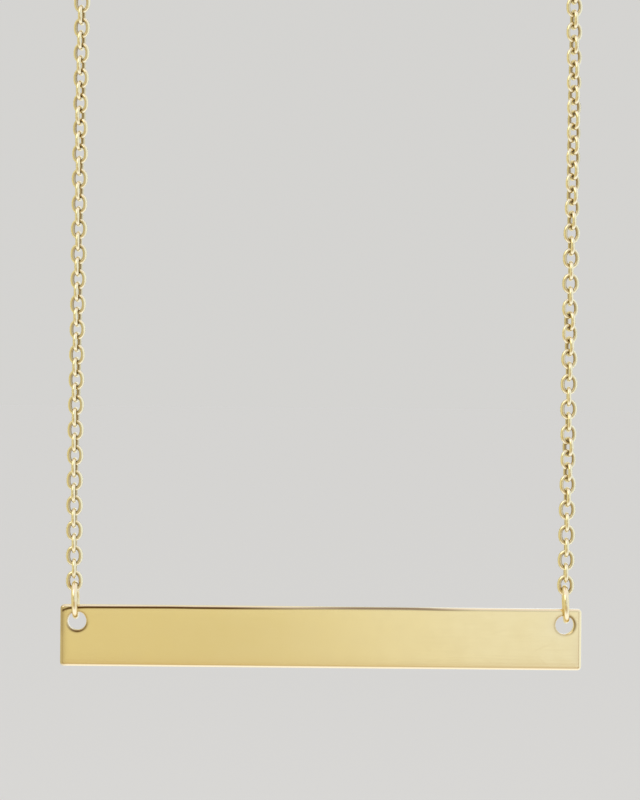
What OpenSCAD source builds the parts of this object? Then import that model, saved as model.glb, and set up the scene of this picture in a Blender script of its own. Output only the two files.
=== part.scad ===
// Bar pendant necklace, in millimetres, hung over a support as on a display.
// The origin is the top of that support, under the clasp. The bar hangs below it, with +Z up,
// the bar's front towards -Y and its length along X. Each side of the loop has the same chain.

/* [Bar] */
// Length of the bar
bar_length = 34; // [26:0.5:50]
// Height of the bar
bar_height = 4; // [3:0.1:8]
// Thickness of the bar, front to back
bar_thickness = 0.8; // [0.6:0.05:1.1]
// Radius of the bar's corners, seen from the front
bar_corner = 0.25; // [0.25:0.05:0.8]
// Radius of the rounding along the bar's edges
bar_edge = 0.2; // [0.05:0.01:0.22]
// Diameter of the hole near each end
hole_diameter = 1.2; // [0.9:0.05:1.4]
// Distance from the end of the bar to the middle of the hole
hole_from_end = 1.1; // [0.9:0.05:2]
// Distance from the top of the bar to the middle of the hole
hole_from_top = 1.05; // [0.9:0.05:1.2]
// Width of the bevel round the rim of the hole
hole_bevel = 0.08; // [0.04:0.01:0.12]

/* [Bar rings] */
// Outer diameter of the ring through each hole
bar_ring_diameter = 2.5; // [2.45:0.05:3.2]
// Wire of the ring through each hole
bar_ring_wire = 0.37; // [0.25:0.01:0.45]

/* [Chain] */
// Width of a chain link across its flat
link_width = 1.12; // [1:0.01:1.3]
// Wire of a chain link
link_wire = 0.21; // [0.15:0.01:0.23]
// Distance from one link's middle to the next one's
link_pitch = 0.821; // [0.78:0.001:0.95]
// Pairs of links on each side, from the bar to the clasp
link_pairs = 110; // [90:1:150]
// Pairs of links on each side, up from the bar, that are made one by one
front_pairs = 25; // [5:1:40]

/* [Clasp] */
// Outer diameter of the spring ring
clasp_diameter = 5.5; // [5:0.1:7]
// Thickness of the spring ring's tube
clasp_tube = 1.1; // [0.8:0.05:1.3]
// Outer diameter of the eye soldered to the spring ring
eye_diameter = 2.1; // [1.9:0.05:2.6]
// Wire of the eye
eye_wire = 0.5; // [0.35:0.01:0.55]
// Length of the thumb knob, out from the spring ring
knob_length = 0.7; // [0.4:0.05:1]
// Diameter of the thumb knob
knob_diameter = 0.6; // [0.4:0.05:0.8]
// Outer diameter of the rings that join the chain to the clasp
end_ring_diameter = 2.8; // [2.6:0.05:3.4]
// Wire of the rings that join the chain to the clasp
end_ring_wire = 0.36; // [0.25:0.01:0.42]

/* [Clearances] */
// Gap between two links, and between a link and a ring, where they bear on each other
link_gap = 0.12; // [0.11:0.01:0.16]
// Gap between a ring and the bar or clasp that it carries
ring_gap = 0.06; // [0.04:0.01:0.1]

/* [Hidden] */
GOLD = [0.86, 0.72, 0.42];
PALE_GOLD = [0.90, 0.78, 0.50];
LEFT = -1;
RIGHT = 1;
$fn = 48;

// Sizes that follow from the ones above
link_length = link_pitch + link_gap + 2 * link_wire;
bar_ring_inner = bar_ring_diameter / 2 - bar_ring_wire;
end_ring_inner = end_ring_diameter / 2 - end_ring_wire;
clasp_radius = (clasp_diameter - clasp_tube) / 2;
eye_radius = (eye_diameter - eye_wire) / 2;
solder_depth = 0.6 * eye_wire;
eye_offset = clasp_diameter / 2 + eye_diameter / 2 - solder_depth;

// From a ring's middle to the middle of the link that hangs in it, and to what the ring hangs on
link_from_end_ring = end_ring_inner - link_gap - link_wire + link_length / 2;
eye_from_clasp_ring = eye_radius - eye_wire / 2 - ring_gap + end_ring_inner;
tube_from_end_ring = end_ring_inner - ring_gap - clasp_tube / 2;

// The clasp and its two rings lie flat on top, between the last links of the two sides
left_reach = eye_offset + eye_from_clasp_ring + link_from_end_ring;
right_reach = clasp_radius + tube_from_end_ring + link_from_end_ring;
first_link = (left_reach + right_reach) / 2;
clasp_x = (left_reach - right_reach) / 2;

// The chain's centre line: flat on top, a quarter round down each side, then straight down
run_x = bar_length / 2 - hole_from_end;
top_z = link_width / 2;
flat_length = first_link - link_length / 2;
bend_radius = run_x - flat_length;
bend_length = bend_radius * PI / 2;
function bend_angle(s) = min(max(s - flat_length, 0), bend_length) / bend_radius * 180 / PI;
function path_x(s) = min(s, flat_length) + bend_radius * sin(bend_angle(s));
function path_z(s) =
    top_z - bend_radius * (1 - cos(bend_angle(s))) - max(s - flat_length - bend_length, 0);

// Link 0 hangs in the bar's ring and the last link in the clasp's, and s runs down from the top
link_count = 2 * link_pairs;
front_count = 2 * front_pairs;
function link_s(i) = first_link + (link_count - 1 - i) * link_pitch;

// Heights of the bar's rings, of its holes and of its middle
ring_z = path_z(link_s(0)) - link_length / 2 + link_wire + link_gap - bar_ring_inner;
reach_in_ring = bar_ring_inner - ring_gap;
hole_drop = min(sqrt(pow(reach_in_ring, 2) - pow(bar_thickness / 2 - hole_bevel, 2)),
                sqrt(pow(reach_in_ring, 2) - pow(bar_thickness / 2, 2)) + hole_bevel);
hole_z = ring_z - hole_drop - hole_diameter / 2;
bar_z = hole_z + hole_from_top - bar_height / 2;

// How far the chain is rolled about its own length, beside the quarter turn from link to link.
// Columns: link counted up from the bar, degrees.
left_roll = [[0, 0], [3, 3], [9, 20], [18, 15], [28, 22], [40, 14], [60, 0]];
right_roll = [[0, 0], [5, 0], [11, 33], [13, 4], [15, 0], [21, 33], [24, 5], [28, 15],
              [32, 42], [37, 42], [45, 15], [60, 0]];
function roll(i, side) = side * lookup(i, side == LEFT ? left_roll : right_roll);

// A round ring of wire, lying flat
module wire_ring(diameter, wire) {
    rotate_extrude()
        translate([(diameter - wire) / 2, 0])
            circle(d = wire);
}

// Half a round ring, standing on its two ends
module half_ring(radius, wire) {
    rotate([90, 0, 0])
        rotate_extrude(angle = 180)
            translate([radius, 0])
                circle(d = wire);
}

// One oval link of wire, its length along Z and its flat towards Y
module link() {
    radius = (link_width - link_wire) / 2;
    straight = link_length - link_width;
    for (end = [0, 180])
        rotate([0, end, 0])
            translate([0, 0, straight / 2])
                half_ring(radius, link_wire);
    for (x = [-radius, radius])
        translate([x, 0, 0])
            cylinder(d = link_wire, h = straight, center = true);
}

// Link i of one side, in its place on the chain
module placed_link(i, side) {
    s = link_s(i);
    translate([side * path_x(s), 0, path_z(s)])
        rotate([0, side * (90 - bend_angle(s)), 0])
            rotate([0, 0, (i % 2) * 90 + roll(i, side)])
                link();
}

// A round tube along the chain's centre line between two places, as one closed skin.
// Its rings stand close together round the bend, and the straight run needs one more at its end.
module chain_tube(from, to, side) {
    sides = 8;
    bend_end = flat_length + bend_length;
    steps = ceil((bend_end - from) / (2 * link_width));
    stations = [for (step = [0 : steps]) from + (bend_end - from) * step / steps, to];
    rings = len(stations);
    radius = link_width / 2;
    points = [
        for (s = stations)
            let (angle = bend_angle(s))
                for (k = [0 : sides - 1])
                    let (out = radius * cos((k + 0.5) * 360 / sides),
                         across = radius * sin((k + 0.5) * 360 / sides))
                        [side * (path_x(s) + out * sin(angle)), across, path_z(s) + out * cos(angle)]
    ];
    walls = [
        for (ring = [0 : rings - 2], k = [0 : sides - 1])
            let (a = ring * sides + k, b = ring * sides + (k + 1) % sides)
                side == RIGHT ? [a, b, b + sides, a + sides] : [a + sides, b + sides, b, a]
    ];
    start = [for (k = [0 : sides - 1]) side == RIGHT ? sides - 1 - k : k];
    end = [for (k = [0 : sides - 1]) (rings - 1) * sides + (side == RIGHT ? k : sides - 1 - k)];
    polyhedron(points = points, faces = concat([start], walls, [end]));
}

// A flat rectangle with round corners
module round_rectangle(width, height, radius) {
    square([width - 2 * radius, height], center = true);
    square([width, height - 2 * radius], center = true);
    for (x = [-1, 1], y = [-1, 1])
        translate([x * (width / 2 - radius), y * (height / 2 - radius)])
            circle(r = radius);
}

// The bar without its holes: its front, end and plan outlines, each carried right through
module bar_blank() {
    over = 1;
    intersection() {
        rotate([90, 0, 0])
            linear_extrude(bar_thickness + over, center = true)
                round_rectangle(bar_length, bar_height, bar_corner);
        rotate([90, 0, 90])
            linear_extrude(bar_length + over, center = true)
                round_rectangle(bar_thickness, bar_height, bar_edge);
        linear_extrude(bar_height + over, center = true)
            round_rectangle(bar_length, bar_thickness, bar_edge);
    }
}

// A hole right through the bar, with a bevelled rim on both faces
module bar_hole() {
    over = 0.5;
    rotate([90, 0, 0]) {
        cylinder(d = hole_diameter, h = bar_thickness + 2 * over, center = true);
        for (face = [0, 180])
            rotate([face, 0, 0])
                translate([0, 0, bar_thickness / 2 - hole_bevel])
                    cylinder(d1 = hole_diameter, d2 = hole_diameter + 2 * (hole_bevel + over),
                             h = hole_bevel + over);
    }
}

// The polished bar
module bar() {
    color(GOLD)
        difference() {
            translate([0, 0, bar_z])
                bar_blank();
            for (side = [LEFT, RIGHT])
                translate([side * run_x, 0, hole_z])
                    bar_hole();
        }
}

// The ring through one of the bar's holes, standing across the bar
module bar_ring(side) {
    color(GOLD)
        translate([side * run_x, 0, ring_z])
            rotate([0, 90, 0])
                wire_ring(bar_ring_diameter, bar_ring_wire);
}

// The lower chain of one side, link by link
module chain_front(side) {
    color(PALE_GOLD)
        for (i = [0 : front_count - 1])
            placed_link(i, side);
}

// The rest of one side's chain: its outer form, then the last link at the clasp
module chain_back(side) {
    end_gap = link_length / 2 + link_gap;
    last = link_count - 1;
    color(PALE_GOLD) {
        chain_tube(link_s(last) + end_gap, link_s(front_count - 1) - end_gap, side);
        placed_link(last, side);
    }
}

// The spring ring with its eye and thumb knob, lying flat on top
module clasp() {
    knob_angle = 60;
    color(GOLD)
        translate([clasp_x, 0, clasp_tube / 2]) {
            wire_ring(clasp_diameter, clasp_tube);
            translate([-eye_offset, 0, 0])
                wire_ring(eye_diameter, eye_wire);
            rotate([0, 0, knob_angle])
                translate([clasp_radius, 0, 0])
                    rotate([0, 90, 0])
                        cylinder(d = knob_diameter, h = clasp_tube / 2 + knob_length);
        }
}

// A ring between the chain and the clasp, standing in the plane of the loop
module standing_ring(x) {
    color(GOLD)
        translate([x, 0, clasp_tube / 2])
            rotate([90, 0, 0])
                wire_ring(end_ring_diameter, end_ring_wire);
}

module clasp_ring() {
    standing_ring(clasp_x - eye_offset - eye_from_clasp_ring);
}

module end_ring() {
    standing_ring(clasp_x + clasp_radius + tube_from_end_ring);
}

bar();
bar_ring(LEFT);  // bar_ring_left
bar_ring(RIGHT);  // bar_ring_right
chain_front(LEFT);  // chain_front_left
chain_front(RIGHT);  // chain_front_right
chain_back(LEFT);  // chain_back_left
chain_back(RIGHT);  // chain_back_right
clasp();
clasp_ring();
end_ring();
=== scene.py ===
import bmesh
import bpy
import numpy as np
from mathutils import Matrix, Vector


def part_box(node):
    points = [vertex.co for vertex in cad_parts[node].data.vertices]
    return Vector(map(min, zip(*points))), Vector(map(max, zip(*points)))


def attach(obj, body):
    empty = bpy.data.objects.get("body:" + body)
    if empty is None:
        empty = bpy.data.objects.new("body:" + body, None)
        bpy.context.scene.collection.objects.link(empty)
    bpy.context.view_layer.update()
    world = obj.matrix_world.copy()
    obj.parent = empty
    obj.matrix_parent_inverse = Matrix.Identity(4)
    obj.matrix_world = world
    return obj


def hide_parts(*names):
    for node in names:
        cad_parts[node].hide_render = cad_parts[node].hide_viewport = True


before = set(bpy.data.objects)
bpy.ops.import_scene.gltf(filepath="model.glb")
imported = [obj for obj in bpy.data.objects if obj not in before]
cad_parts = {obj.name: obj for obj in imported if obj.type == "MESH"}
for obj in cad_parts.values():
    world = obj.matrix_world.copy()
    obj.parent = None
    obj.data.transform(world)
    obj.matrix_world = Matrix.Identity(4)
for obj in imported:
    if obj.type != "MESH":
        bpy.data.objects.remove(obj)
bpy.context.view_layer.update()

# The bar
# A flat bar of gold plated brass, cut from sheet and drilled near each upper corner.
# Its corners and edges are rounded over on the polishing wheel, which leaves the face
# flat in the middle and lets it fall away a little towards every edge.

MM = 0.001
bar_low, bar_high = np.array(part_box("bar"))
BAR_CORNER = 0.25 * MM  # radius of the corners, seen from the front
BAR_EDGE = 0.20 * MM  # radius of the rounding along the edges
HOLE_RADIUS = 0.60 * MM
HOLE_RIM = 0.08 * MM  # rounding of the hole's rim
HOLE_FROM_END = 1.10 * MM
HOLE_FROM_TOP = 1.05 * MM
FACE_FALL = 0.009 * MM  # how far the polished face falls at an edge
FALL_REACH = 0.35 * MM  # and how far in from the edge that fades
hole_xs = (bar_low[0] + HOLE_FROM_END, bar_high[0] - HOLE_FROM_END)
hole_z = bar_high[2] - HOLE_FROM_TOP

# How finely the bar's skin is cut.
HOLE_FIELD = 0.75 * MM  # half the side of the square of face that is gathered round a hole
FIELD_STEPS = 16  # across that square
LENGTH_STEPS = 62  # between the two squares
LENGTH_CROWDING = 1.6  # 1 is even, and more brings those steps together near the squares
HEIGHT_STEPS = 16  # below the squares
CORNER_STEPS = 6
EDGE_FLAT_STEPS = 3  # on the flat strip beside the rounded edge
EDGE_STEPS = 10
SLEEVE_STEPS = 5  # from the square in to the hole's mouth
RIM_STEPS = 6
WELD = 0.0005 * MM  # points closer than this are one

# Where the plate is rubbed paler along the edges, and where dark shade and dark reflections
# are painted on it. Every width is how far from its middle a mark has faded to about a third.
EDGE_RUBBED = 0.6
EDGE_RUBBED_WIDTH = 0.15 * MM
# The painted dark reflection under the top edge drops a little at the left corner. Columns:
# share of the length, strength, and how far below the top it lies, in mm.
PAINTED_TOP_REFLECTION = ((0.001, 0.0, 0.38), (0.005, 1.0, 0.36), (0.010, 1.0, 0.30), (0.016, 1.0, 0.23),
            (0.022, 1.0, 0.20), (0.05, 1.0, 0.16), (0.21, 1.0, 0.13), (0.26, 1.0, 0.14),
            (0.32, 1.0, 0.14), (0.42, 0.60, 0.13), (0.46, 0.52, 0.11), (0.51, 0.62, 0.08),
            (0.56, 0.78, 0.07), (0.66, 0.80, 0.06), (0.70, 0.74, 0.08), (0.72, 0.64, 0.10),
            (0.75, 0.44, 0.12), (0.80, 0.12, 0.12), (1, 0.04, 0.10))
PAINTED_TOP_REFLECTION_WIDTH = 0.08 * MM
# The painted shade along the left end. Columns: mm below the top, strength.
PAINTED_END_SHADE = ((1.6, 0.52), (2.1, 0.40))
PAINTED_END_SHADE_WIDTH = 0.28 * MM
# The painted shade round each hole's rim: where it lies thickest, in degrees from the
# right, and how much stronger it is there than all round.
PAINTED_RIM_SHADE = {"left": (-85, 0.85), "right": (20, 0.55)}
PAINTED_RIM_SHADE_ALL_ROUND = 0.15
PAINTED_RIM_SHADE_WIDTH = 0.08 * MM

# The noises in the plate of every piece. Columns: waves in each mm, finer levels laid over
# them, and each level's strength as a share of the one before.
NOISES = {"drift": (0.35, 3.0, 0.5), "wheel lines": (5.0, 4.0, 0.6), "clouds": (1.1, 4.0, 0.5),
          "scratch bend": (0.15, 1.0, 0.5), "scratch fade": (0.45, 1.0, 0.5)}
CLOUDS_ROUGHEN = 0.6  # share of the clouds in the roughness
LINES_ROUGHEN = 0.4  # and of the wheel lines
# Its hairline scratches. Columns: degrees from level, and mm from one to the next.
SCRATCHES = ((22.0, 0.8), (-37.0, 1.1))
SCRATCH_WIDTH = 0.012  # in mm, from its middle to where it has faded
SCRATCH_DEPTH = 0.45  # as a share of the wheel lines' depth
SCRATCH_BEND = 1.5  # the most that the bend noise moves a scratch, in mm
SCRATCH_SHOWS = (0.56, 0.70)  # the fade noise at which a scratch starts to show, and is full
STRIP_JUMP = 7.3  # how far apart two neighbouring strips read the fade noise, in mm


def grid_faces(rows, columns, closed_rows=False, closed_columns=False):
    """Corner numbers of every cell of a grid of rows by columns points: cell (r, c) takes
    points (r, c), (r, c+1), (r+1, c+1), (r+1, c), counted round again where closed."""
    r = np.arange(rows - 1 + closed_rows)[:, None]
    c = np.arange(columns - 1 + closed_columns)[None, :]
    r_next, c_next = (r + 1) % rows, (c + 1) % columns
    corners = (r * columns + c, r * columns + c_next,
               r_next * columns + c_next, r_next * columns + c)
    return np.stack(np.broadcast_arrays(*corners), -1).reshape(-1, 4)


def join_patches(patches):
    """Stacks patches, each a list of points and its faces, into one list of each, with
    every patch's corner numbers raised by the count of points before it."""
    counts = np.cumsum([0] + [len(points) for points, _ in patches])
    return (np.concatenate([points for points, _ in patches]),
            np.concatenate([faces + first for (_, faces), first in zip(patches, counts)]))


def make_piece(name, points, faces, weld=0.0):
    """A smooth mesh object at the origin. Points closer than weld are made one, which
    closes seams and poles, and the faces of the closed skin are then turned outwards."""
    mesh = bpy.data.meshes.new(name)
    mesh.from_pydata(points.tolist(), [], faces.tolist())
    skin = bmesh.new()
    skin.from_mesh(mesh)
    if weld:
        bmesh.ops.remove_doubles(skin, verts=skin.verts, dist=weld)
    bmesh.ops.recalc_face_normals(skin, faces=skin.faces)
    skin.to_mesh(mesh)
    skin.free()
    mesh.shade_smooth()
    piece = bpy.data.objects.new(name, mesh)
    bpy.context.scene.collection.objects.link(piece)
    return piece


def points_of(piece):
    """The points of a piece's mesh as an array, one row each."""
    flat = np.zeros(len(piece.data.vertices) * 3, np.float32)
    piece.data.vertices.foreach_get("co", flat)
    return flat.reshape(-1, 3).astype(float)


def round_rectangle_path(xs, zs, corner_steps):
    """Once round a rectangle, against the clock seen from the front: on each side the
    place moves through xs or zs and the outward angle stays, and at each corner the
    place stays and the angle turns a quarter."""
    sides = ((xs, zs[0], -90), (xs[-1], zs, 0), (xs[::-1], zs[-1], 90), (xs[0], zs[::-1], 180))
    places, angles = [], []
    for x, z, facing in sides:
        x, z = np.broadcast_arrays(x, z)
        turn = facing + np.linspace(0, 90, corner_steps + 1)[1:-1]
        places.append(np.stack([np.append(x, np.full(len(turn), x[-1])),
                                np.append(z, np.full(len(turn), z[-1]))], -1))
        angles.append(np.append(np.full(len(x), float(facing)), turn))
    return np.concatenate(places), np.radians(np.concatenate(angles))


def quarter_round(radius, steps):
    """(inset, depth) from the face round to the side: a quarter circle of that radius,
    inset = r (1 - sin a) and depth = r (1 - cos a) as a goes from 0 to 90 degrees."""
    a = np.linspace(0, np.pi / 2, steps + 1)
    return np.stack([radius * (1 - np.sin(a)), radius * (1 - np.cos(a))], -1)


def both_faces(profile, thickness):
    """A profile of (inset, depth below the front) carried over the side and, mirrored,
    onto the back, as (inset, y) with y = depth - thickness / 2 and then its opposite."""
    front = np.stack([profile[:, 0], profile[:, 1] - thickness / 2], -1)
    return np.concatenate([front, front[::-1] * (1, -1)])


def face_lines():
    """Where the flat face is cut, along X and along Z. The cuts are even through each hole's
    square. Between the squares they lie at 1 - (1 - s)^p of half the way, for even s out
    from the middle and p the LENGTH_CROWDING, and below them at (1 - cos a) / 2 of the way
    up, as a goes from 0 to 180 degrees."""
    inner_low, inner_high = bar_low + BAR_CORNER, bar_high - BAR_CORNER
    field = np.linspace(-HOLE_FIELD, HOLE_FIELD, FIELD_STEPS + 1)
    left_field, right_field = (x + field for x in hole_xs)
    out = np.linspace(-1, 1, LENGTH_STEPS + 1)[1:-1]
    between = right_field[0] * np.sign(out) * (1 - (1 - np.abs(out)) ** LENGTH_CROWDING)
    upward = (1 - np.cos(np.linspace(0, np.pi, HEIGHT_STEPS + 1)[:-1])) / 2
    below_field = hole_z - HOLE_FIELD - inner_low[2]
    xs = np.concatenate([[inner_low[0]], left_field, between, right_field, [inner_high[0]]])
    zs = np.concatenate([inner_low[2] + below_field * upward, hole_z + field, [inner_high[2]]])
    return xs, zs


def edge_patch(xs, zs):
    """The edge: its profile, from one face round to the other, carried round the outline.
    A point is place + (corner - inset) (cos a, sin a), where a is the outward angle."""
    places, angles = round_rectangle_path(xs, zs, CORNER_STEPS)
    insets = np.linspace(BAR_CORNER, BAR_EDGE, EDGE_FLAT_STEPS + 1)[:-1]
    flat = np.stack([insets, np.zeros(EDGE_FLAT_STEPS)], -1)
    profile = np.concatenate([flat, quarter_round(BAR_EDGE, EDGE_STEPS)])
    profile = both_faces(profile, bar_high[1] - bar_low[1])
    out = BAR_CORNER - profile[None, :, 0]
    skin = np.stack([places[:, 0, None] + out * np.cos(angles)[:, None],
                     np.broadcast_to(profile[:, 1], (len(places), len(profile))),
                     places[:, 1, None] + out * np.sin(angles)[:, None]], -1)
    return skin.reshape(-1, 3), grid_faces(*skin.shape[:2], closed_rows=True)


def face_patch(xs, zs, y):
    """One flat face: the cells of the grid of xs by zs whose middle isn't in the square
    round a hole."""
    cells = grid_faces(len(zs), len(xs))
    grid_x, grid_z = (values.ravel() for values in np.meshgrid(xs, zs))
    middle_x, middle_z = grid_x[cells].mean(1), grid_z[cells].mean(1)
    in_field = np.abs(middle_z - hole_z) < HOLE_FIELD
    in_field &= np.min([np.abs(middle_x - x) for x in hole_xs], 0) < HOLE_FIELD
    return np.stack([grid_x, np.full(len(grid_x), y), grid_z], -1), cells[~in_field]


def hole_patch(hole_x):
    """The sleeve of one hole: rings of points that go from the square of the front face in
    to the mouth, at mouth + share (square - mouth), then at radius + inset round the rim
    and through the wall, and out to the same square of the back."""
    field = np.linspace(-HOLE_FIELD, HOLE_FIELD, FIELD_STEPS + 1)
    square, _ = round_rectangle_path(hole_x + field, hole_z + field, corner_steps=1)
    around = np.arctan2(square[:, 1] - hole_z, square[:, 0] - hole_x)
    circle = np.stack([np.cos(around), np.sin(around)], -1)
    middle = np.array([hole_x, hole_z])
    mouth = middle + (HOLE_RADIUS + HOLE_RIM) * circle
    shares = np.linspace(1, 0, SLEEVE_STEPS + 1)[:-1, None, None]
    face_rings = mouth + shares * (square - mouth)
    profile = both_faces(quarter_round(HOLE_RIM, RIM_STEPS), bar_high[1] - bar_low[1])
    wall_rings = middle + (HOLE_RADIUS + profile[:, 0])[:, None, None] * circle
    rings = np.concatenate([face_rings, wall_rings, face_rings[::-1]])
    level = np.concatenate([np.full(SLEEVE_STEPS, bar_low[1]), profile[:, 1],
                            np.full(SLEEVE_STEPS, bar_high[1])])
    skin = np.stack([rings[..., 0], np.broadcast_to(level[:, None], rings.shape[:2]),
                     rings[..., 1]], -1)
    return skin.reshape(-1, 3), grid_faces(*skin.shape[:2], closed_columns=True)


def from_rims(x, z):
    """Distance out from the nearest hole's mouth: |place - middle| - (radius + rim)."""
    to_middle = np.min([np.hypot(x - hole_x, z - hole_z) for hole_x in hole_xs], 0)
    return to_middle - HOLE_RADIUS - HOLE_RIM


def polished(points):
    """The points with both faces let down by FACE_FALL times e to the minus distance from
    the nearest edge or rim over FALL_REACH, and less inside the thickness, down to none
    halfway."""
    x, y, z = points.T
    to_edge = np.min([x - bar_low[0], bar_high[0] - x, z - bar_low[2], bar_high[2] - z], 0)
    fall = FACE_FALL * (np.exp(-np.maximum(to_edge - BAR_EDGE, 0) / FALL_REACH)
                        + np.exp(-np.maximum(from_rims(x, z), 0) / FALL_REACH))
    return np.stack([x, y * (1 - fall / (bar_high[1] - bar_low[1]) * 2), z], -1)


def bar_wear_and_painted_shade(points):
    """The bar's wear and painted shade, at distance d from the middle of each mark of width w.
    Rubbed is e^-(d/w)^2 in from the outline. The painted shade is the strongest of e^-(d/w)^4
    off the painted dark reflection under the top, e^-(d/w)^2 from the left end and e^-(d/w)^2
    off each rim's mouth, the last times the cosine of the angle from where that rim's shade is
    thickest."""
    x, _, z = points.T
    past = np.abs(points - (bar_low + bar_high) / 2) - (bar_high - bar_low) / 2 + BAR_CORNER
    past = past[:, (0, 2)]
    inside = BAR_CORNER - np.hypot(*np.maximum(past, 0).T) - np.minimum(past.max(1), 0)
    rubbed = EDGE_RUBBED * np.exp(-(inside / EDGE_RUBBED_WIDTH) ** 2)

    shares, strengths, depths = np.transpose(PAINTED_TOP_REFLECTION)
    from_left, below_top = x - bar_low[0], bar_high[2] - z
    share = from_left / (bar_high[0] - bar_low[0])
    off_line = below_top - np.interp(share, shares, depths) * MM
    painted_top_reflection = np.interp(share, shares, strengths) * np.exp(-(off_line / PAINTED_TOP_REFLECTION_WIDTH) ** 4)
    depths, strengths = np.transpose(PAINTED_END_SHADE)
    painted_end_shade = np.interp(below_top, depths * MM, strengths)
    painted_end_shade *= np.exp(-(from_left / PAINTED_END_SHADE_WIDTH) ** 2)

    towards = []
    for hole_x, (degrees, stronger) in zip(hole_xs, PAINTED_RIM_SHADE.values()):
        angle = np.arctan2(z - hole_z, x - hole_x) - np.radians(degrees)
        towards.append(stronger * np.cos(angle) * (np.abs(x - hole_x) < 2 * HOLE_FIELD))
    painted_rim_shade = np.exp(-(from_rims(x, z) / PAINTED_RIM_SHADE_WIDTH) ** 2)
    painted_rim_shade *= PAINTED_RIM_SHADE_ALL_ROUND + np.clip(np.max(towards, 0), 0, 1)
    return rubbed, np.max([painted_top_reflection, painted_end_shade, painted_rim_shade], 0)


def mark(piece, rubbed, dulled_and_painted_shade):
    """Writes the masks of wear and of painted shade, one number from 0 to 1 a point, as the
    mesh's attributes.
    """
    for name, mask in (("rubbed", rubbed), ("dulled_and_painted_shade", dulled_and_painted_shade)):
        values = np.clip(np.broadcast_to(mask, len(piece.data.vertices)), 0, 1)
        attribute = piece.data.attributes.new(name, "FLOAT", "POINT")
        attribute.data.foreach_set("value", values.astype(np.float32))


def add_node(tree, kind, inputs=None, **settings):
    """Adds a node. Settings are its own properties; inputs are its sockets by name or
    number, each given a plain value or another node's socket, which is linked to it."""
    node = tree.nodes.new(kind)
    for name, value in settings.items():
        setattr(node, name, value)
    for key, value in (inputs or {}).items():
        if isinstance(value, bpy.types.NodeSocket):
            tree.links.new(value, node.inputs[key])
        else:
            node.inputs[key].default_value = value
    return node


def arithmetic(tree, operation, *values):
    """One sum on plain values or sockets; MULTIPLY_ADD is first times second plus third."""
    return add_node(tree, "ShaderNodeMath", dict(enumerate(values)),
                    operation=operation).outputs[0]


def ramp(tree, value, start, end, low=0.0, high=1.0, shape="LINEAR"):
    """Goes from low to high as the value goes from start to end, and stays there beyond:
    evenly, or as 3 t^2 - 2 t^3 where the shape is SMOOTHSTEP."""
    return add_node(tree, "ShaderNodeMapRange",
                    {"Value": value, "From Min": start, "From Max": end,
                     "To Min": low, "To Max": high}, interpolation_type=shape).outputs[0]


def blend(tree, share, a, b, kind="RGBA"):
    """A colour, or with kind FLOAT a number, that is (1 - share) a + share b."""
    return add_node(tree, "ShaderNodeMix", {"Factor": share, "A": a, "B": b},
                    data_type=kind).outputs["Result"]


def noise(tree, place, name, output="Fac"):
    """One of NOISES, read at a place in mm: soft waves with finer ones laid over them."""
    scale, detail, roughness = NOISES[name]
    return add_node(tree, "ShaderNodeTexNoise",
                    {"Vector": place, "Scale": scale, "Detail": detail,
                     "Roughness": roughness}).outputs[output]


def hairlines(tree, place, turned, apart):
    """Fine straight scratches at one angle. The face is cut into strips that wide, each
    with one thin line at a chance distance across it, and a noise that runs along the strip
    says where the line shows and where it fades out."""
    level = add_node(tree, "ShaderNodeMapping",
                     {"Vector": place, "Rotation": (0.0, np.radians(turned), 0.0)})
    along, _, across = add_node(tree, "ShaderNodeSeparateXYZ", {0: level.outputs[0]}).outputs
    strips = arithmetic(tree, "MULTIPLY", across, 1 / apart)
    strip = arithmetic(tree, "FLOOR", strips)
    chance = add_node(tree, "ShaderNodeTexWhiteNoise", {"W": strip}, noise_dimensions="1D")
    aside = arithmetic(tree, "SUBTRACT", arithmetic(tree, "FRACT", strips),
                       chance.outputs["Value"])
    line = ramp(tree, arithmetic(tree, "ABSOLUTE", aside), 0.0, SCRATCH_WIDTH / apart, 1.0, 0.0)
    own = arithmetic(tree, "MULTIPLY", strip, STRIP_JUMP)
    run = add_node(tree, "ShaderNodeCombineXYZ", {0: along, 1: own})
    fade = noise(tree, run.outputs[0], "scratch fade")
    return arithmetic(tree, "MULTIPLY", line, ramp(tree, fade, *SCRATCH_SHOWS))


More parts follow.
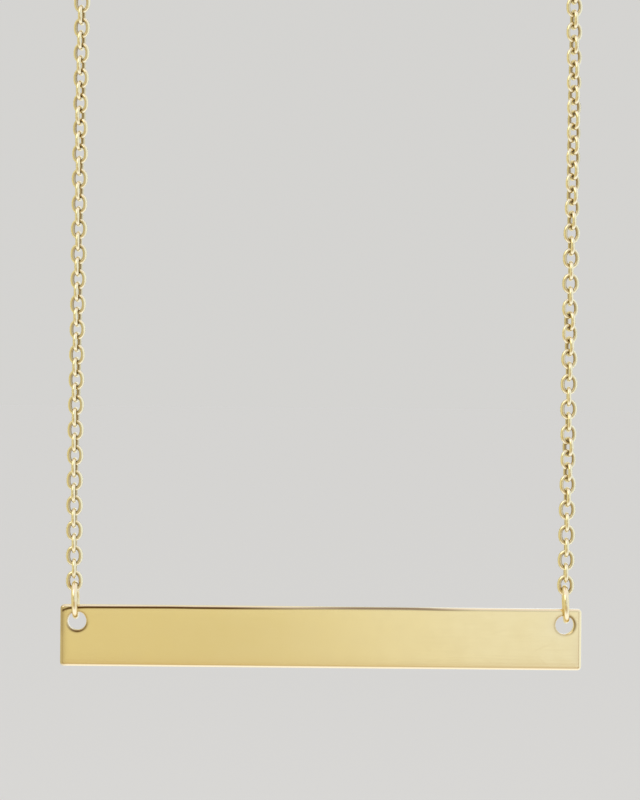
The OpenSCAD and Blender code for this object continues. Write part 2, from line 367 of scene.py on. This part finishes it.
def polished_plate_group():
    """The finish of worn gold plate, shared by every piece. The colour is Plate, blended to
    Paler by a soft noise times Drift and by the mask Rubbed, and then to Dull, the tone of
    dull joints and of painted shade, by the mask Dulled and painted shade. The roughness goes
    from Smooth to Rough by a cloudy noise, the wheel lines and that mask. The height is the
    wheel lines, a noise stretched along Along, less the scratches."""
    group = bpy.data.node_groups.new("polished_plate", "ShaderNodeTree")
    for name, kind, way in (
            ("Place", "Vector", "INPUT"), ("Along", "Vector", "INPUT"),
            ("Plate", "Color", "INPUT"), ("Paler", "Color", "INPUT"),
            ("Dull", "Color", "INPUT"), ("Rubbed", "Float", "INPUT"),
            ("Dulled and painted shade", "Float", "INPUT"), ("Drift", "Float", "INPUT"),
            ("Smooth", "Float", "INPUT"), ("Rough", "Float", "INPUT"),
            ("Color", "Color", "OUTPUT"), ("Roughness", "Float", "OUTPUT"),
            ("Height", "Float", "OUTPUT")):
        group.interface.new_socket(name, in_out=way, socket_type="NodeSocket" + kind)
    given = group.nodes.new("NodeGroupInput").outputs
    place, dulled_and_painted_shade = given["Place"], given["Dulled and painted shade"]

    drift = arithmetic(group, "MULTIPLY", noise(group, place, "drift"), given["Drift"])
    color = blend(group, drift, given["Plate"], given["Paler"])
    color = blend(group, given["Rubbed"], color, given["Paler"])
    color = blend(group, dulled_and_painted_shade, color, given["Dull"])

    lines = noise(group, given["Along"], "wheel lines")
    bend = noise(group, place, "scratch bend", output="Color")
    bent_place = add_node(group, "ShaderNodeVectorMath",
                          {0: bend, 1: (SCRATCH_BEND,) * 3, 2: place},
                          operation="MULTIPLY_ADD").outputs[0]
    one_way, other_way = (hairlines(group, bent_place, turned, apart)
                          for turned, apart in SCRATCHES)
    scratches = arithmetic(group, "ADD", one_way, other_way)
    height = arithmetic(group, "MULTIPLY_ADD", scratches, -SCRATCH_DEPTH, lines)

    clouds = noise(group, place, "clouds")
    roughened = arithmetic(group, "MULTIPLY_ADD", clouds, CLOUDS_ROUGHEN, dulled_and_painted_shade)
    roughened = arithmetic(group, "MULTIPLY_ADD", lines, LINES_ROUGHEN, roughened)
    roughness = blend(group, roughened, given["Smooth"], given["Rough"], kind="FLOAT")
    add_node(group, "NodeGroupOutput",
             {"Color": color, "Roughness": roughness, "Height": height})
    return group


polished_plate = polished_plate_group()


def gold_plate(name, plate, paler, dull_and_painted_shade_tone, smooth, rough, drift, along, relief):
    """Gold plate over brass: a bare metal whose colour, roughness and relief come from the
    shared finish. Along stretches its wheel lines, and relief is their depth in metres.
    The mesh's own attributes rubbed and dulled_and_painted_shade say where the plate is worn,
    and where it is dulled or has shade painted on it."""
    material = bpy.data.materials.new(name)
    material.use_nodes = True
    tree = material.node_tree
    shader = tree.nodes["Principled BSDF"]
    shader.inputs["Metallic"].default_value = 1.0
    coordinates = add_node(tree, "ShaderNodeTexCoord").outputs["Object"]
    place = add_node(tree, "ShaderNodeMapping", {"Vector": coordinates, "Scale": (1 / MM,) * 3})
    stretched = add_node(tree, "ShaderNodeMapping", {"Vector": place.outputs[0], "Scale": along})
    rubbed = add_node(tree, "ShaderNodeAttribute", attribute_name="rubbed")
    dulled_and_painted_shade = add_node(tree, "ShaderNodeAttribute", attribute_name="dulled_and_painted_shade")
    finish = add_node(tree, "ShaderNodeGroup", node_tree=polished_plate)
    for key, value in {"Place": place.outputs[0], "Along": stretched.outputs[0],
                       "Rubbed": rubbed.outputs["Fac"],
                       "Dulled and painted shade": dulled_and_painted_shade.outputs["Fac"]}.items():
        tree.links.new(value, finish.inputs[key])
    for key, value in {"Plate": (*plate, 1), "Paler": (*paler, 1), "Dull": (*dull_and_painted_shade_tone, 1),
                       "Drift": drift, "Smooth": smooth, "Rough": rough}.items():
        finish.inputs[key].default_value = value
    bump = add_node(tree, "ShaderNodeBump",
                    {"Height": finish.outputs["Height"], "Distance": relief})
    tree.links.new(finish.outputs["Color"], shader.inputs["Base Color"])
    tree.links.new(finish.outputs["Roughness"], shader.inputs["Roughness"])
    tree.links.new(bump.outputs[0], shader.inputs["Normal"])
    return material


xs, zs = face_lines()
points, faces = join_patches([edge_patch(xs, zs), face_patch(xs, zs, bar_low[1]),
                              face_patch(xs, zs, bar_high[1]),
                              *(hole_patch(hole_x) for hole_x in hole_xs)])
bar = make_piece("polished_bar", polished(points), faces, weld=WELD)
# The bar gets rubbed edges and its painted shade and painted dark reflections; the dull tone below
# is their colour.
mark(bar, *bar_wear_and_painted_shade(points_of(bar)))
bar.data.materials.append(gold_plate(
    "bar_plate", plate=(0.900, 0.735, 0.400), paler=(0.930, 0.800, 0.520),
    dull_and_painted_shade_tone=(0.13, 0.052, 0.005), smooth=0.10, rough=0.20, drift=0.25,
    along=(0.06, 1.0, 1.8), relief=0.0015 * MM))
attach(bar, "bar")
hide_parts("bar")

# The rings through the bar
# Round rings of gold plated wire, one through each hole, soldered shut round the bar and
# the lowest link of the chain. They stand across the bar, so the front shows their edge.

BAR_RING_WIRE = 0.39 * MM
RING_SECTIONS, RING_SIDES = 72, 20
# How each ring rests: mm to the right of the middle of its hole, degrees turned about the
# upright and degrees leaned, with its lower end to the right.
BAR_RING_REST = {"left": (-0.14, 0.0, 2.0), "right": (0.07, -2.0, 3.0)}
SEAM_ANGLE = np.radians(50)  # where a ring's soldered seam lies, from its plane's first axis
SEAM_WIDTH = 0.09 * MM
# How strongly a ring is rubbed outside, darkened by painted shade inside and on its
# flanks, and dulled at its seam.
RING_RUBBED = 0.5
RING_PAINTED_SHADE_INSIDE = 0.35
RING_PAINTED_SHADE_FLANKS = 0.4
RING_DULL_SEAM = 0.45


def ring_points(centre, radius, wire, across, sections, sides):
    """A round wire carried round a circle: centre + (radius + wire/2 cos v)(cos u, sin u)
    in the ring's own plane, and wire/2 sin v across it. Across is the number of the
    coordinate that the ring's plane leaves out."""
    u = np.linspace(0, 2 * np.pi, sections, endpoint=False)[:, None]
    v = np.linspace(0, 2 * np.pi, sides, endpoint=False)[None, :]
    reach = radius + wire / 2 * np.cos(v)
    columns = [reach * np.cos(u), reach * np.sin(u)]
    columns.insert(across, np.broadcast_to(wire / 2 * np.sin(v), (sections, sides)))
    return np.stack(columns, -1).reshape(-1, 3) + centre


def facing_in(sections, sides):
    """How far each point of a ring of wire faces its middle: -cos v for the angle v round
    the wire, which is 1 inside, 0 on the flanks and -1 outside."""
    return np.tile(-np.cos(2 * np.pi * np.arange(sides) / sides), sections)


def turned_by(a, b, angle):
    """Two coordinates turned in their plane: a cos t - b sin t and a sin t + b cos t."""
    return a * np.cos(angle) - b * np.sin(angle), a * np.sin(angle) + b * np.cos(angle)


def make_ring(name, node, wire, across, rest=(0, 0, 0)):
    """A closed ring of wire round the same circle as that CAD node's, and then turned,
    leaned and moved along X to where it has come to rest. Its marks, for its facing f:
    rubbed by f^2 outside, painted shade of f^3 inside and of (1 - f^2)^2 on the flanks, and
    dulled by e^-(d/w)^2 at the seam."""
    low, high = np.array(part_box(node))
    size = high - low
    radius = (np.delete(size, across).max() - size[across]) / 2
    x, y, z = ring_points(0, radius, wire, across, RING_SECTIONS, RING_SIDES).T
    aside, turn, lean = rest[0] * MM, *np.radians(rest[1:])
    x, y = turned_by(x, y, turn)
    x, z = turned_by(x, z, lean)
    points = np.stack([x + aside, y, z], -1) + (low + high) / 2
    ring = make_piece(name, points, grid_faces(RING_SECTIONS, RING_SIDES, True, True))
    facing = facing_in(RING_SECTIONS, RING_SIDES)
    from_seam = np.linspace(0, 2 * np.pi, RING_SECTIONS, endpoint=False) - SEAM_ANGLE
    seam = np.repeat(np.exp(-(from_seam * radius / SEAM_WIDTH) ** 2), RING_SIDES)
    # Inside and on its flanks the ring is darkened by painted shade; its seam is dulled.
    mark(ring, rubbed=RING_RUBBED * np.maximum(-facing, 0) ** 2,
         dulled_and_painted_shade=np.max([RING_PAINTED_SHADE_INSIDE * np.maximum(facing, 0) ** 3,
                        RING_PAINTED_SHADE_FLANKS * (1 - facing ** 2) ** 2,
                        RING_DULL_SEAM * seam], 0))
    return ring


# Its dull tone colours the painted shade of the rings and their dulled seams.
ring_plate = gold_plate(
    "ring_plate", plate=(0.900, 0.750, 0.420), paler=(0.930, 0.810, 0.540),
    dull_and_painted_shade_tone=(0.50, 0.33, 0.15), smooth=0.12, rough=0.26, drift=0.4,
    along=(1.0, 1.0, 1.0), relief=0.0010 * MM)
for side in ("left", "right"):
    ring = make_ring("jump_ring_" + side, "bar_ring_" + side, BAR_RING_WIRE, across=0,
                     rest=BAR_RING_REST[side])
    ring.data.materials.append(ring_plate)
    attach(ring, "loop")
    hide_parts("bar_ring_" + side)

# The chain
# A fine cable chain of oval links, each bent from drawn wire, soldered shut, turned a
# quarter from the next one and plated after it is made up. It hangs straight down from the
# clasp's support on each side, twisted a little here and there.

LINK_WIDTH = 1.12 * MM
LINK_WIRE = 0.28 * MM
LINK_PLAY = 0.01 * MM  # gap between two links where they bear on each other
LINK_PITCH = 0.821 * MM
LINK_FULLNESS = 2.2  # power of the oval, where 2 is an ellipse
LINK_SECTIONS, LINK_SIDES = 16, 6
CAD_LINK_LENGTH = 1.361 * MM  # of the links in the solids, which keep a wider gap
LINK_COUNT = 220  # on each side
FRONT_COUNT = 50  # of them in the lower piece
# Roll of the whole chain about its own length. Columns: link up from the bar, degrees.
ROLL = {
    "left": ((0, 0), (3, 4), (9, 10), (13, 13), (15, 18), (24, 17), (27, 9), (30, 18),
             (33, 14), (36, 27), (45, 14), (60, 0), (75, -16), (95, 12), (120, -8),
             (150, 18), (185, -12), (205, 0), (219, 0)),
    "right": ((0, 0), (5, 1), (9, 18), (11, 29), (13, 6), (15, 0), (17, 8), (21, 29),
              (23, 4), (25, 2), (28, 12), (31, 31), (37, 38), (45, 15), (60, 0),
              (80, 14), (105, -12), (135, 10), (160, -18), (190, 9), (205, 0), (219, 0)),
}
# Sway of the whole chain off its straight line. Columns: link up from the bar, mm to the right.
SWAY = {
    "left": ((0, -0.22), (7, -0.27), (15, -0.22), (23, -0.15), (37, -0.10), (60, 0)),
    "right": ((0, 0.06), (3, 0.09), (9, 0.14), (21, 0.18), (29, 0.26), (37, 0.33),
              (50, 0.28), (80, 0)),
}
# How strongly a link is rubbed outside and darkened inside by painted shade, where the
# links bear on each other, and how fast that painted shade fades.
LINK_RUBBED = 0.5
LINK_PAINTED_SHADE = 0.85
LINK_PAINTED_SHADE_POWER = 1.2


def link_shape():
    """One link standing in the XZ plane: round wire carried round an oval on which
    |x/a|^n + |z/b|^n = 1, with n a little over an ellipse's 2 for its fuller shoulders.
    The wire's own circle lies in the oval's outward direction and Y."""
    half = np.array([LINK_WIDTH - LINK_WIRE, LINK_PITCH + LINK_PLAY + LINK_WIRE]) / 2
    turn = 2 * np.pi * (np.arange(LINK_SECTIONS)[:, None] + 0.5) / LINK_SECTIONS
    oval = np.concatenate([np.cos(turn), np.sin(turn)], 1)
    oval = np.sign(oval) * np.abs(oval) ** (2 / LINK_FULLNESS)
    outward = np.sign(oval) * np.abs(oval) ** (LINK_FULLNESS - 1) / half
    outward /= np.linalg.norm(outward, axis=1, keepdims=True)
    around = 2 * np.pi * np.arange(LINK_SIDES)[None, :, None] / LINK_SIDES
    skin = (oval * half)[:, None] + LINK_WIRE / 2 * np.cos(around) * outward[:, None]
    level = np.broadcast_to(LINK_WIRE / 2 * np.sin(around), skin.shape[:2] + (1,))
    return np.concatenate([skin[..., :1], level, skin[..., 1:]], -1).reshape(-1, 3)


def chain_points(side, links, run_x, flat_length, top_z, lowest_s):
    """The links of one side: link i is rolled by its quarter turn and its place in ROLL,
    leaned along the chain, and put at its distance s along the centre line, which is flat
    on top, a quarter round at the side and straight down from there."""
    sign = -1 if side == "left" else 1
    bend_radius = run_x - flat_length
    s = lowest_s - links * LINK_PITCH
    bend = np.clip((s - flat_length) / bend_radius, 0, np.pi / 2)
    below = np.maximum(s - flat_length - bend_radius * np.pi / 2, 0)
    place_x = sign * (np.minimum(s, flat_length) + bend_radius * np.sin(bend))
    place_x += np.interp(links, *np.transpose(SWAY[side])) * MM
    place_z = top_z - bend_radius * (1 - np.cos(bend)) - below
    roll = np.radians(links % 2 * 90 + sign * np.interp(links, *np.transpose(ROLL[side])))
    lean = sign * (np.pi / 2 - bend)
    x, y, z = link_shape().T[:, None, :]
    x, y = turned_by(x, y, roll[:, None])
    x, z = turned_by(x, z, lean[:, None])
    return np.stack([x + place_x[:, None], y, z + place_z[:, None]], -1)


# Its dull tone is the colour of the painted shade inside the links.
chain_plate = gold_plate(
    "chain_plate", plate=(0.895, 0.768, 0.445), paler=(0.930, 0.825, 0.565),
    dull_and_painted_shade_tone=(0.26, 0.155, 0.055), smooth=0.12, rough=0.26, drift=0.5,
    along=(1.0, 1.0, 1.0), relief=0.0010 * MM)
link_faces = grid_faces(LINK_SECTIONS, LINK_SIDES, True, True)
for side in ("left", "right"):
    front_low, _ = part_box("chain_front_" + side)
    back_box = np.array(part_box("chain_back_" + side))
    ring_box = np.array(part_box("bar_ring_" + side))
    run_x = abs(ring_box[:, 0].sum()) / 2  # the chain hangs straight down to its ring
    flat_length = np.abs(back_box[:, 0]).min()  # and the flat top ends where it begins
    top_z = LINK_WIDTH / 2
    bend_radius = run_x - flat_length
    lowest_z = front_low[2] + CAD_LINK_LENGTH / 2
    lowest_s = flat_length + bend_radius * np.pi / 2 + top_z - bend_radius - lowest_z
    for node, links in (("chain_front_" + side, np.arange(FRONT_COUNT)),
                        ("chain_back_" + side, np.arange(FRONT_COUNT, LINK_COUNT))):
        placed = chain_points(side, links, run_x, flat_length, top_z, lowest_s)
        first = np.arange(len(links))[:, None, None] * placed.shape[1]
        faces = (link_faces[None] + first).reshape(-1, 4)
        chain = make_piece(node.replace("chain_", "links_"), placed.reshape(-1, 3), faces)
        facing = facing_in(LINK_SECTIONS * len(links), LINK_SIDES)
        # Inside, the links are darkened by painted shade.
        mark(chain, rubbed=LINK_RUBBED * np.maximum(-facing, 0),
             dulled_and_painted_shade=LINK_PAINTED_SHADE * np.maximum(facing, 0) ** LINK_PAINTED_SHADE_POWER)
        chain.data.materials.append(chain_plate)
        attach(chain, "loop")
        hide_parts(node)

# The clasp
# A spring ring, rolled from tube, with a round eye of wire soldered to its side and a
# thumb knob. It is hidden when the necklace is worn and is made as one plain closed piece.

CLASP_DIAMETER = 5.50 * MM
CLASP_TUBE = 1.10 * MM
CLASP_SECTIONS, CLASP_SIDES = 96, 32
EYE_DIAMETER = 2.10 * MM
EYE_WIRE = 0.50 * MM
EYE_SECTIONS, EYE_SIDES = 64, 24
KNOB_DIAMETER = 0.60 * MM
KNOB_LENGTH = 0.70 * MM
KNOB_ANGLE = np.radians(60)
KNOB_NECK = 0.80  # radius at its root in the ring, as a share of its head's
KNOB_DOME = 0.80  # height of its domed end, as a share of its head's radius
KNOB_ROWS, KNOB_SECTIONS = 7, 32
SOLDER_GRAIN = 0.045 * MM  # size of the cells that melt the clasp's parts into one skin
SMOOTHING_ROUNDS = 6
TONGUE_ENDS = np.radians((-16, 36))  # where the closed tongue's two fine joints show
TONGUE_JOINT_WIDTH = 0.05 * MM
SOLDER_REACH = 0.4 * MM  # how far from the eye's solder its dull colour fades
SOLDER_DULL = 0.6
CLASP_RUBBED = 0.5
clasp_radius = (CLASP_DIAMETER - CLASP_TUBE) / 2


def knob_points(centre):
    """The thumb knob: a circle carried out along its axis, whose radius swells as
    neck + (1 - neck) t^2 of the head's, for t from 0 to 1, and then closes over the head
    in a quarter round, as cos a at a height of sin a."""
    head = KNOB_DIAMETER / 2
    dome_height = head * KNOB_DOME
    stem = CLASP_TUBE / 2 + KNOB_LENGTH - dome_height
    swell = KNOB_NECK + (1 - KNOB_NECK) * np.linspace(0, 1, KNOB_ROWS) ** 2
    dome = np.linspace(0, np.pi / 2, KNOB_ROWS)[1:]
    along = np.concatenate([[0.0], np.linspace(0, stem, KNOB_ROWS),
                            stem + dome_height * np.sin(dome)])
    radius = np.concatenate([[0.0], head * swell, head * np.cos(dome)])[:, None]
    u = np.linspace(0, 2 * np.pi, KNOB_SECTIONS, endpoint=False)[None, :]
    out, beside = turned_by(clasp_radius + along[:, None], radius * np.cos(u), KNOB_ANGLE)
    points = np.stack([out, beside, radius * np.sin(u)], -1).reshape(-1, 3)
    return points + centre, grid_faces(len(along), KNOB_SECTIONS, closed_columns=True)


def melted(piece):
    """The piece's mesh made one skin: refilled with even cells, which joins what overlaps,
    and then every point moved halfway to the middle of its neighbours, some times over."""
    melt = piece.modifiers.new("melt", "REMESH")
    melt.mode = "VOXEL"
    melt.voxel_size = SOLDER_GRAIN
    melt.use_smooth_shade = True
    ease = piece.modifiers.new("ease", "SMOOTH")
    ease.factor = 0.5
    ease.iterations = SMOOTHING_ROUNDS
    evaluated = piece.evaluated_get(bpy.context.evaluated_depsgraph_get())
    skin = bpy.data.meshes.new_from_object(evaluated)
    piece.modifiers.clear()
    skin.shade_smooth()
    skin.materials.clear()
    return skin


clasp_low, clasp_high = np.array(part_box("clasp"))
clasp_centre = np.array([clasp_high[0] - CLASP_DIAMETER / 2, 0.0, clasp_high[2] - CLASP_TUBE / 2])
eye_centre = np.array([clasp_low[0] + EYE_DIAMETER / 2, 0.0, clasp_centre[2]])
spring_ring = ring_points(clasp_centre, clasp_radius, CLASP_TUBE, 2, CLASP_SECTIONS, CLASP_SIDES)
eye = ring_points(eye_centre, (EYE_DIAMETER - EYE_WIRE) / 2, EYE_WIRE, 2, EYE_SECTIONS, EYE_SIDES)
points, faces = join_patches([
    (spring_ring, grid_faces(CLASP_SECTIONS, CLASP_SIDES, True, True)),
    (eye, grid_faces(EYE_SECTIONS, EYE_SIDES, True, True)),
    knob_points(clasp_centre)])
clasp = make_piece("spring_ring_clasp", points, faces, weld=WELD)
clasp.data = melted(clasp)
x, y, _ = (points_of(clasp) - clasp_centre).T
facing_out = (np.hypot(x, y) - clasp_radius) / (CLASP_TUBE / 2)
from_solder = np.abs(x + CLASP_DIAMETER / 2) + np.abs(y)
from_joint = np.min([np.abs(np.arctan2(y, x) - end) for end in TONGUE_ENDS], 0) * np.hypot(x, y)
mark(clasp, rubbed=CLASP_RUBBED * np.maximum(facing_out, 0) ** 2,
     dulled_and_painted_shade=np.maximum(SOLDER_DULL * np.exp(-(from_solder / SOLDER_REACH) ** 2),
                       np.exp(-(from_joint / TONGUE_JOINT_WIDTH) ** 2)))
clasp.data.materials.append(gold_plate(
    "clasp_plate", plate=(0.900, 0.745, 0.410), paler=(0.930, 0.805, 0.530),
    dull_and_painted_shade_tone=(0.50, 0.33, 0.15), smooth=0.12, rough=0.26, drift=0.4,
    along=(1.0, 1.0, 1.0), relief=0.0010 * MM))
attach(clasp, "loop")
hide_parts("clasp")

# The rings at the clasp
# Two round rings of plated wire: one joins the left chain's last link to the clasp's eye,
# and the clasp closes on the other, at the end of the right chain.

END_RING_WIRE = 0.36 * MM

for node in ("clasp_ring", "end_ring"):
    ring = make_ring("closing_" + node, node, END_RING_WIRE, across=1)
    ring.data.materials.append(ring_plate)
    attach(ring, "loop")
    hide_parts(node)

# The stage
# A large plain pale floor below the bar, a pale tent of light all round with one soft lamp
# above on the left, and a camera level with the chain, close in front.

FLOOR_Z = -0.235
FLOOR_REACH = 30.0
FLOOR_PALENESS = 0.8
FLOOR_ROUGHNESS = 0.9
FLOOR_LIGHT = (0.66, 0.65, 0.63)  # even light on the floor and other dull things
BACKDROP = (0.6626, 0.6563, 0.6385)  # what the camera sees round the object

# The tent of light that the metal mirrors: a cream tone on the left, and steps to others.
# Columns: the measure that a step runs along, where it starts and ends, and its tone.
TENT_LEFT = (0.840, 0.805, 0.565)
TENT_STEPS = (("across", -0.020, 0.008, (0.965, 0.97, 0.80)),
              ("across", 0.02, 0.068, (0.995, 1.095, 1.25)),
              ("up", 0.50, 0.80, (1.02, 1.02, 1.22)),
              ("up", -0.45, -0.75, (1.16, 1.22, 1.40)))
# The brown shades in it: a soft spot low on the left, one below, one on each side and the
# deepest above. Each has its tone and the steps that are multiplied for its strength, with
# columns for the measure, where the step starts and ends, and the strengths there. BESIDE
# is what the two at the sides share.
SPOT = (-0.0225, -0.997, -0.077)  # direction of the soft spot
SHADES_END = np.radians((66, 44))  # angles off the viewer where every shade is gone, and full
BESIDE = (("across", -0.65, -0.45, 0.0, 1.0), ("across", 0.55, 0.40, 0.0, 1.0),
          ("up", 0.3, 0.0, 0.0, 1.0))
SHADES = (
    ((0.40, 0.34, 0.20), (("from_spot", 0.022, 0.008, 0.0, 1.0),)),
    ((0.50, 0.30, 0.10), (("up", -0.10, -0.15, 0.0, 0.48),)),
    ((0.30, 0.20, 0.06), (("across", -0.085, -0.30, 0.0, 0.25), *BESIDE)),
    ((0.42, 0.29, 0.16), (("across", 0.10, 0.20, 0.0, 0.55), *BESIDE)),
    ((0.075, 0.032, 0.008), (("up", -0.01, 0.09, 0.0, 1.0), ("across", 0.005, -0.045, 0.20, 0.30))))

LAMP_PLACE = (-0.28, -0.32, 0.18)
LAMP_TURN = np.radians((48, 0, -40))
LAMP_SIZE = 0.35
LAMP_WATTS = 0.45
LAMP_COLOUR = (1.0, 0.97, 0.92)


def studio_light():
    """The light from each direction. The metal mirrors the tent: its tone on the left,
    blended to each of TENT_STEPS by a smooth step and then to each of SHADES by the product
    of some, along the direction's own X (across), Z (up), distance from the spot and angle
    off the viewer. Dull things get an even light, and the camera sees a backdrop."""
    world = bpy.data.worlds.new("studio")
    world.use_nodes = True
    tree = world.node_tree
    tree.nodes.clear()
    direction = add_node(tree, "ShaderNodeTexCoord").outputs["Generated"]
    across, away, up = add_node(tree, "ShaderNodeSeparateXYZ", {0: direction}).outputs
    from_spot = add_node(tree, "ShaderNodeVectorMath", {0: direction, 1: SPOT},
                         operation="DISTANCE").outputs["Value"]
    measures = {"across": across, "up": up, "from_spot": from_spot}
    off_viewer = arithmetic(tree, "ARCCOSINE", arithmetic(tree, "MULTIPLY", away, -1.0))
    towards_viewer = ramp(tree, off_viewer, *SHADES_END, shape="SMOOTHSTEP")

    tent = (*TENT_LEFT, 1)
    for measure, start, end, tone in TENT_STEPS:
        step = ramp(tree, measures[measure], start, end, shape="SMOOTHSTEP")
        tent = blend(tree, step, tent, (*tone, 1))
    for tone, steps in SHADES:
        strength = towards_viewer
        for measure, start, end, low, high in steps:
            step = ramp(tree, measures[measure], start, end, low, high, shape="SMOOTHSTEP")
            strength = arithmetic(tree, "MULTIPLY", strength, step)
        tent = blend(tree, strength, tent, (*tone, 1))

    mirrored = add_node(tree, "ShaderNodeBackground", {"Color": tent})
    even = add_node(tree, "ShaderNodeBackground",
                    {"Color": (*FLOOR_LIGHT, 1), "Strength": 1 / FLOOR_PALENESS})
    backdrop = add_node(tree, "ShaderNodeBackground", {"Color": (*BACKDROP, 1)})
    ray = add_node(tree, "ShaderNodeLightPath").outputs
    lit = add_node(tree, "ShaderNodeMixShader",
                   {0: ray["Is Diffuse Ray"], 1: mirrored.outputs[0], 2: even.outputs[0]})
    seen = add_node(tree, "ShaderNodeMixShader",
                    {0: ray["Is Camera Ray"], 1: lit.outputs[0], 2: backdrop.outputs[0]})
    add_node(tree, "ShaderNodeOutputWorld", {"Surface": seen.outputs[0]})
    return world


bpy.context.scene.world = studio_light()
bpy.context.scene.view_settings.view_transform = "Standard"

floor_corners = np.array([[-1, -1], [1, -1], [1, 1], [-1, 1]]) * FLOOR_REACH
floor = make_piece("floor", np.c_[floor_corners, np.full(4, FLOOR_Z)], np.array([[0, 1, 2, 3]]))
floor.visible_glossy = False
paper = bpy.data.materials.new("floor_paper")
paper.use_nodes = True
paper_shader = paper.node_tree.nodes["Principled BSDF"]
paper_shader.inputs["Roughness"].default_value = FLOOR_ROUGHNESS
paper_shader.inputs["Specular IOR Level"].default_value = 0.0
paper_shader.inputs["Base Color"].default_value = (*(FLOOR_PALENESS,) * 3, 1)
floor.data.materials.append(paper)

bulb = bpy.data.lights.new("overhead_left", "AREA")
bulb.shape = "DISK"
bulb.size = LAMP_SIZE
bulb.energy = LAMP_WATTS
bulb.color = LAMP_COLOUR
lamp = bpy.data.objects.new("overhead_left", bulb)
lamp.location = LAMP_PLACE
lamp.rotation_euler = LAMP_TURN
bpy.context.scene.collection.objects.link(lamp)

# The camera stands as far off as the picture's perspective says, level with the chain a
# little above the bar, and leans a touch, so that the bar's right end hangs lower.
PICTURE_HEIGHT = 800  # pixels, on the long side
PIXELS_PER_MM = 15.34  # at the bar
CAMERA_DISTANCE = 200 * MM
CAMERA_ABOVE_BAR = 15.49 * MM
CAMERA_LEFT = 0.19 * MM
CAMERA_LEAN = np.radians(0.52)
SENSOR_WIDTH = 36.0
camera_data = bpy.data.cameras.new("camera")
camera_data.sensor_width = SENSOR_WIDTH
camera_data.lens = SENSOR_WIDTH * PIXELS_PER_MM * CAMERA_DISTANCE / MM / PICTURE_HEIGHT
camera_data.clip_start = 0.01
camera_data.clip_end = 100.0
camera = bpy.data.objects.new("camera", camera_data)
camera.location = (-CAMERA_LEFT, bar_low[1] - CAMERA_DISTANCE,
                   (bar_low[2] + bar_high[2]) / 2 + CAMERA_ABOVE_BAR)
camera.rotation_euler = (np.pi / 2, -CAMERA_LEAN, 0)
bpy.context.scene.collection.objects.link(camera)
bpy.context.scene.camera = camera
